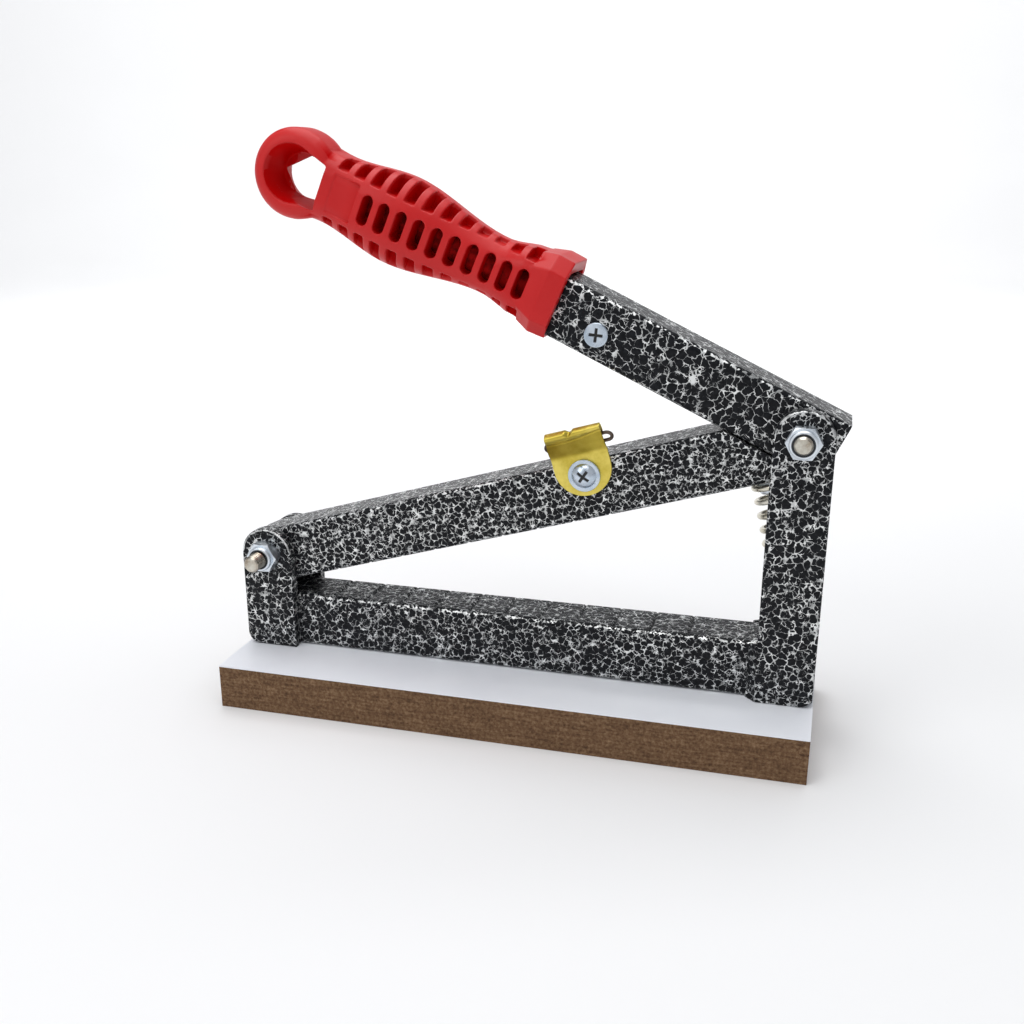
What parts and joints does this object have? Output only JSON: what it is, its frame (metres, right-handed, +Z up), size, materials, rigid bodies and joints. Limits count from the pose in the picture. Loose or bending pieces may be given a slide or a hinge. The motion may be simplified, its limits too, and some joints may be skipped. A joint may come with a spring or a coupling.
{
  "type": "lever nutcracker",
  "caption": "Bench nutcracker: a square-tube jaw hinged over a base bar on a small board, pressed down by a long hand lever with a ribbed grip and raised again by a coil spring.",
  "frame": {"origin": "middle of the board's underside, where the nutcracker stands on a table", "axes": "+X along the base bar from the jaw's pivot to the lever's pivot, +Z up, the front with the lock nuts and the latch clip faces -Y"},
  "size_m": [0.2113, 0.072, 0.1988],
  "materials": {
    "hammertone_paint": "charcoal hammertone paint with silver veins",
    "fibreboard": "sawn brown fibreboard edge",
    "white_laminate": "white melamine, satin",
    "zinc_plate": "bright zinc plate",
    "yellow_zinc": "zinc plate with a yellow tint",
    "nylon_insert": "dark nylon",
    "brass_sheet": "bright stamped brass",
    "dark_wire": "dark steel wire",
    "spring_wire": "zinc-plated spring wire",
    "red_plastic": "satin red moulded plastic"
  },
  "bodies": {
    "frame": {"base_bar": "hammertone_paint", "base_board": "fibreboard", "base_spring_peg": "zinc_plate", "board_laminate": "white_laminate", "board_screws": "zinc_plate", "jaw_nut_insert": "nylon_insert", "jaw_pivot_bolt": "yellow_zinc", "jaw_pivot_nut": "zinc_plate", "left_post_back": "hammertone_paint", "left_post_front": "hammertone_paint", "lever_nut_insert": "nylon_insert", "lever_pivot_bolt": "yellow_zinc", "lever_pivot_nut": "zinc_plate", "return_spring": "spring_wire", "right_post_back": "hammertone_paint", "right_post_front": "hammertone_paint", "weld_beads": "hammertone_paint"},
    "jaw": {"jaw_bar": "hammertone_paint", "jaw_spring_peg": "zinc_plate", "latch_clip": "brass_sheet", "latch_screw": "zinc_plate"},
    "lever": {"lever_bar": "hammertone_paint", "handle_tang": "hammertone_paint", "handle_grip": "red_plastic", "lever_screw": "zinc_plate"},
    "ring": {"latch_ring": "dark_wire"}
  },
  "joints": [
    {"name": "lever_hinge", "type": "hinge", "parent": "frame", "child": "lever", "pos_m": [0.0935, 0, 0.1068], "axis": [0, -1, 0], "range_deg": [0, 33], "stiffness_Nm_per_rad": 6.5, "springref_deg": -8.88},
    {"name": "jaw_hinge", "type": "hinge", "parent": "frame", "child": "jaw", "pos_m": [-0.0935, 0, 0.0518], "axis": [0, 1, 0], "range_deg": [0, 5.8], "deforming": ["return_spring"]},
    {"name": "ring_swing", "type": "hinge", "parent": "jaw", "child": "ring", "pos_m": [0.02118, -0.01254, 0.10247], "axis": [0.9594, 0, 0.2822], "range_deg": [0, 5]}
  ],
  "couplings": [
    {"joint": "jaw_hinge", "follows": "lever_hinge", "ratio": 0.175}
  ]
}
